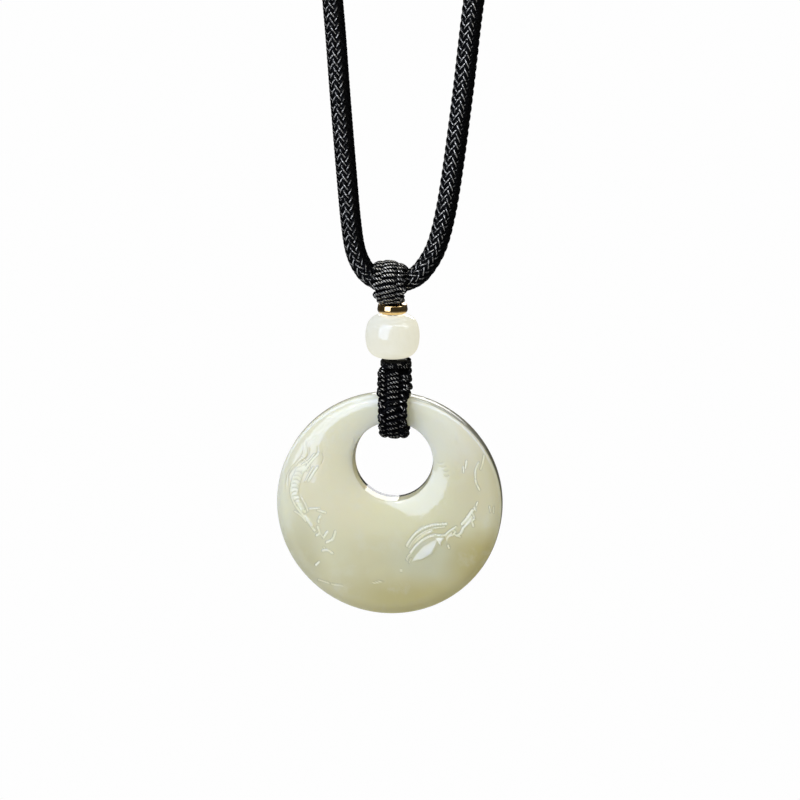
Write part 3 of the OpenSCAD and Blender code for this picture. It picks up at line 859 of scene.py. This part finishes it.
def stone_height(x, y):
    """Height of the polished face at a place from the disc's centre, before the carving. It
    rolls slowly towards the hole, and turns in sharply at its lip."""
    r = np.hypot(x, y)
    dome = DOME_Z + np.sqrt(DOME_R ** 2 - np.minimum(r, TURN_R) ** 2)
    shoulder = SHOULDER_Z + np.sqrt(np.maximum(SHOULDER_R ** 2 - (r - SHOULDER_X) ** 2, 0))
    dome = np.where(r < TURN_R, dome, np.maximum(shoulder, RIM_H / 2))
    near = np.clip((MOUTH_END - np.hypot(x, y - HOLE_OFFSET)) / (MOUTH_END - MOUTH_R), 0, 1)
    return dome - (dome - MOUTH_Z) * (0.88 * near ** 1.25 + 0.12 * near ** 14)


FACET_RISE = (0.16, -0.14)    # to the right and up, for a facet to mirror the window


def facet_slope(x, y):
    """What a facet has to rise over the stone beside it to face the window."""
    return FACET_RISE[0] + x / DOME_R, FACET_RISE[1] + y / DOME_R


def laid(places):
    """Places laid out in the carving's steps, in millimetres."""
    return np.asarray(places, float) * DISC_R / CARVING_STEPS


def leant(x, y):
    """A place in the disc's own plane, turned as the disc hangs."""
    return (x * math.cos(DISC_LEAN) + y * math.sin(DISC_LEAN),
            y * math.cos(DISC_LEAN) - x * math.sin(DISC_LEAN))


def beside(x, y, places, reach):
    """For the points within reach of a line: which they are, how far they lie from it and to
    its left, how far along it and what share of it, and the way that it runs there."""
    line = spline(laid(places), 8)
    low, high = line.min(0) - reach, line.max(0) + reach
    near = (x > low[0]) & (x < high[0]) & (y > low[1]) & (y < high[1])
    start, step = line[:-1], np.diff(line, axis=0)
    size = np.hypot(*step.T)
    ahead = step / size[:, None]
    px, py = x[near][:, None] - start[:, 0], y[near][:, None] - start[:, 1]
    run = np.clip(px * ahead[:, 0] + py * ahead[:, 1], 0, size)
    dx, dy = px - run * ahead[:, 0], py - run * ahead[:, 1]
    off = np.hypot(dx, dy)
    best = off.argmin(1)
    pick = np.arange(len(best))
    left = ahead[best, 0] * dy[pick, best] - ahead[best, 1] * dx[pick, best]
    far = totals_of(size[:-1])[best] + run[pick, best]
    return near, off[pick, best], left, far, far / size.sum(), ahead[best]


def groove(x, y, places, half, depth):
    """Height, and how much of the groove's painted shade is at each point."""
    near, off, _, _, share, _ = beside(x, y, places, half)
    out = np.zeros((2,) + x.shape)
    fade = np.clip(5 * np.minimum(share, 1 - share), 0, 1)
    fall = fade * (1 - np.clip(off / half, 0, 1) ** 2) ** 2
    out[:, near] = -depth * fall, fall
    return out


def cut(x, y, places, half, pitch=0.5, bow=0.0, taper=0.0):
    """A narrow cut that mirrors the window all along. It rises across its width, and where it
    runs with the light it is made of short steps. bow bends the steps back at the edges, and
    taper is how much of its width is gone at its end. Gives its height, how much painted
    highlight whitens its floor, and how much painted shade darkens the stone beside it, most of
    all above and to the left; in the wide scaled band painted shade also lies at the low end of
    each step."""
    near, off, left, far, share, ahead = beside(x, y, places, half + 0.3)
    wide, soft = half > 0.5, 0.07    # how wide the change at its edges is
    edge = half * (1 - taper * share ** 2)
    slope_x, slope_y = facet_slope(x[near], y[near])
    along = slope_x * ahead[:, 0] + slope_y * ahead[:, 1]
    to_left = slope_y * ahead[:, 0] - slope_x * ahead[:, 1]
    far = far + bow * (off / half) ** 2
    across = 0 if wide else np.abs(to_left) * (min(half, 0.3) + np.sign(to_left) * left)
    tooth = np.mod(np.sign(along) * far, pitch)
    height = smooth((edge + 0.03 - off) / soft) * (0.02 + across + np.abs(along) * tooth)
    white = smooth((edge - 0.02 - off) / soft)
    above = left * (0.5 * ahead[:, 1] + 0.87 * ahead[:, 0]) / np.maximum(off, 0.01)
    painted_shade = np.exp(-((off - edge - 0.05) / soft) ** 2) * (0.6 + 0.4 * above)
    if wide:
        painted_shade = np.maximum(painted_shade, 0.6 * white * smooth(1 - 4 * tooth / pitch))
        white = white * (0.4 + 0.6 * share) * smooth(1.5 * tooth / pitch - 0.2)
    out = np.zeros((3,) + x.shape)
    out[:, near] = height, white, painted_shade
    return out


def facet(x, y, corners, deep):
    """A flat cut inside the corners that mirrors the window: its height, and how much painted
    highlight whitens it.
    """
    corners = laid(corners)
    inside, off = np.zeros(x.shape, bool), np.full(x.shape, 9.0)
    for (x0, y0), (x1, y1) in zip(corners, np.roll(corners, -1, axis=0)):
        wide, high = x1 - x0, y1 - y0
        crosses = (y0 > y) != (y1 > y)
        inside ^= crosses & (x < x0 + wide * (y - y0) / (high + 1e-9))
        u = np.clip(((x - x0) * wide + (y - y0) * high) / (wide ** 2 + high ** 2), 0, 1)
        off = np.minimum(off, np.hypot(x - x0 - u * wide, y - y0 - u * high))
    slope_x, slope_y = facet_slope(*corners.mean(0))
    rise = (slope_x * corners[:, 0] + slope_y * corners[:, 1]).min()
    flat = smooth(off / 0.14) * (slope_x * x + slope_y * y - rise - deep)
    return np.where(inside, [flat, smooth(off / 0.1)], 0)


def carved(x, y):
    """How far the carving stands out at places from the disc's centre, and how much painted
    highlight and painted shade it puts on the stone. It was laid out on the disc as it hangs."""
    x, y = (place - move for place, move in zip(leant(x, y), laid(CARVING_MOVE)))
    cuts = [cut(x, y, places, half / 100) for half, places in CUTS]
    half, places = SCALED_BAND
    cuts.append(cut(x, y, places, half / 100, pitch=0.78, bow=-0.35, taper=0.6))
    total, white, painted_shade = np.max(cuts, axis=0)
    for deep, corners in FACETS:
        flat, pale = facet(x, y, corners, deep / 100)
        total = np.where(np.abs(flat) > np.abs(total), flat, total)
        white = np.maximum(white, (0.35 if deep > 10 else 0.8) * pale)
    for half, depth, places in GROOVES:
        fall, shade = groove(x, y, places, half / 100, depth / 100)
        total, painted_shade = total + fall, np.maximum(painted_shade, 0.5 * shade)
    return total, white, painted_shade * (1 - white)


DISC_COLUMNS = 640    # points round its front, and half as many round its back
FRONT_RINGS, BACK_RINGS = 122, 24    # between the hole and the rim


def spread(count, high, density):
    """Values from 0 to high, closer together where density is greater."""
    fine = np.linspace(0, high, 4001)
    share = totals_of(density((fine[1:] + fine[:-1]) / 2))
    return np.interp(np.linspace(0, share[-1], count), share, fine)


def near_carving(a):
    """Density of columns at an angle: greater through both carved parts."""
    parts = ((192, 50), (342, 52), (-18, 52))
    return 1 + 4 * sum(np.exp(-((a - middle) / half) ** 6) for middle, half in parts)


def make_disc(finish):
    many = DISC_COLUMNS
    a = np.radians(spread(many + 1, 360, near_carving)[:-1])
    few = a[::2]

    def circle(share, height_of, a=a):
        """A ring of points between the lip of the hole and the rim."""
        radius = blend(MOUTH_R, DISC_R - RIM_EDGE_R, share)
        x, y = radius * np.cos(a), radius * np.sin(a) + blend(HOLE_OFFSET, 0, share)
        return np.stack([x, y, height_of(x, y)], 1)

    def round_of(r, z, a=a, up=0.0):
        return np.stack([r * np.cos(a), r * np.sin(a) + up, z + 0 * a], 1)

    # The drilled wall, widening to the front from its narrowest place near the back
    throat = [(7.25, -1.3), (7.256, -1.22), (7.512, 2.02), (7.518, 2.1), (7.55, 2.21),
              (7.6, 2.27)]
    throat_back = [(7.3, -1.6), (7.45, -2.05), (7.53, -2.18), (7.6, -2.26)]
    edge = arc((DISC_R - RIM_EDGE_R, RIM_H / 2 - RIM_EDGE_R), RIM_EDGE_R, 90, 0, 6)[1:]
    face = [circle(t, stone_height) for t in spread(
        FRONT_RINGS, 1, lambda t: 1 + 1.6 * ((t > 0.28) & (t < 0.96)) + 2 * (t < 0.05))]
    marks = []
    # Each ring of the face carries the carving's painted highlight and painted shade
    for ring in face:
        rise, white, painted_shade = carved(ring[:, 0], ring[:, 1])
        ring[:, 2] += rise
        marks.append(np.stack([white, painted_shade, 0 * white], 1))
    front = [round_of(r, z, up=HOLE_OFFSET) for r, z in throat] + face
    front += [round_of(r, z) for r, z in edge] + [round_of(DISC_R, -edge[-1][1])]
    back = [round_of(r, -z, few) for r, z in edge[-2::-1]]
    back += [circle(t, lambda x, y: -stone_height(x, y), few) for t in spread(
        BACK_RINGS, 1, lambda t: 1 + 2 * (t > 0.85) + 2 * (t < 0.1))[::-1]]
    back += [round_of(r, z, few, HOLE_OFFSET) for r, z in throat_back[::-1]]
    count = len(front) * many

    # Between the front's columns and the back's, which are half as many
    j = np.arange(many // 2)
    k = (j + 1) % (many // 2)
    joins = []
    for one, half, order in (((len(front) - 1) * many, count, 1),
                             (0, count + (len(back) - 1) * many // 2, -1)):
        this, mid, that = one + 2 * j, one + 2 * j + 1, one + 2 * k
        joins += [np.stack(t, 1)[:, ::order] for t in (
            (this, mid, half + j), (mid, that, half + k), (mid, half + k, half + j))]
    quads = np.vstack([sheet_faces(len(front), many), count + sheet_faces(len(back), many // 2)])

    points = np.vstack(front + back)
    lay = np.zeros((len(points), 3))
    lay[len(throat) * many:(len(throat) + len(face)) * many] = np.vstack(marks)
    # From the disc's own plane to its place: leaning about the hole's centre, carved side ahead
    x, z = leant(points[:, 0], points[:, 1] - HOLE_OFFSET)
    shape = Shape()
    shape.add(np.stack([x + HOLE_SHIFT, -points[:, 2], z + HOLE_Z], 1), quads, lay[quads])
    shape.close(np.vstack(joins))
    return shape.make("jade_disc_polished", finish)


# Studio

SEEN_WHITE = {"Color": (1, 1, 1, 1), "Strength": 0.99}
ROOM_FRONT, ROOM_BACK = 0.04, 0.1    # how bright the room is next to that
FLOOR_HALF, FLOOR_Z = 9000.0, -550


def make_stage():
    """A white floor far below, and a room that the camera sees as white. To everything else it
    is dim in front and overhead, and brighter behind."""
    floor = Shape()
    corners = ((-1, -1), (1, -1), (1, 1), (-1, 1))
    floor.add([(x * FLOOR_HALF, y * FLOOR_HALF, FLOOR_Z) for x, y in corners], [[0, 1, 2, 3]])
    f = Finish("floor_white")
    paper = f.mix(f.noise(f.place(), 3.0), (0.7, 0.7, 0.7, 1), (0.74, 0.74, 0.74, 1))
    plain = f.node("BsdfDiffuse", None, {"Color": paper})
    white = f.node("Emission", None, SEEN_WHITE)
    f.node("OutputMaterial", None, {"Surface": f.node("MixShader", None, {
        0: f.node("LightPath"), 1: plain, 2: white})})
    floor.make("floor", f.holder)

    f = Finish("pale_room", "worlds")
    bpy.context.scene.world = f.holder
    _, behind, upward = f.parts(f.node("TexCoord"))
    wall = (ROOM_BACK - ROOM_FRONT) * f.ramp(behind, 0.1, 0.6) * f.ramp(upward, -0.02, 0.05)
    dim = f.node("Background", None, {"Color": (1, 1, 1, 1), "Strength": wall + ROOM_FRONT})
    white = f.node("Background", None, SEEN_WHITE)
    f.node("OutputWorld", None, {"Surface": f.node("MixShader", None, {
        0: f.node("LightPath"), 1: dim, 2: white})})
    view = bpy.context.scene.view_settings
    view.view_transform, view.look = "Standard", "None"


def softbox(name, turn, rise, far, wide, high, glow, roll=0, colour=(1, 1, 1)):
    """A flat lamp, wide by high metres, that faces the pendant. roll leans its top to the
    right, and glow is how bright its face is next to the white of the picture."""
    data = bpy.data.lights.new(name, "AREA")
    data.shape, data.size, data.size_y = "RECTANGLE", wide, high
    data.energy, data.color = glow * math.pi * wide * high, colour
    lamp = new_object(name, data)
    lamp.visible_camera = False
    lamp.matrix_world = (aimed((0, 0, -LOOP_DROP - 35), turn, rise, far)
                         @ Matrix.Rotation(math.radians(-roll), 4, "Z"))


def make_lights():
    softbox("key_upper_left", -31, 25, far=0.8, wide=0.66, high=1.0, glow=2.7, roll=13,
            colour=(0.9, 1.0, 1.3))
    softbox("strip_upper_right", 28, 52, far=0.8, wide=1.5, high=0.05, glow=7.0, roll=8)
    softbox("right_fill", 80, 38, far=0.9, wide=0.35, high=0.6, glow=1.8)
    softbox("back_top", 180, 68, far=0.8, wide=0.8, high=0.4, glow=2.4)
    softbox("back_glow", 175, 18, far=0.9, wide=0.45, high=0.24, glow=3.0)


make_camera()
braid = black_nylon("black_braid", glint=0.68, thin=0.9, even=0.18, crown=1.6e-4, fibre=3e-5)
cord, cord_path, cord_length = make_neck_cord(braid)
dress(cord, "neck_loop", "neck_cord")
knot_thread = black_nylon("black_knot_thread", glint=0.85, thin=0.76, even=0.12)
collar_thread = black_nylon("black_collar_thread", glint=0.9, thin=0.85, even=-0.04)
bail_thread = black_nylon("black_bail_thread", glint=1.0, thin=0.3, even=0.5)
sleeve = dress(make_sleeve(knot_thread), "neck_loop", "nape_sleeve")
tuple(cord_path[0])
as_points(cord_path)
dress(make_strap(knot_thread), "pendant", "hanging_strap")
dress(make_bail(bail_thread), "pendant", "bail_knot")
dress(make_collar(collar_thread), "pendant", "collar_knot")
dress(make_bead_thread(knot_thread), "pendant", "bead_thread")
dress(make_disc(disc_jade()), "pendant", "jade_disc")
dress(make_bead(bead_jade()), "pendant", "jade_bead")
dress(make_ring(gilt_finish()), "pendant", "gilt_ring")
make_stage()
make_lights()
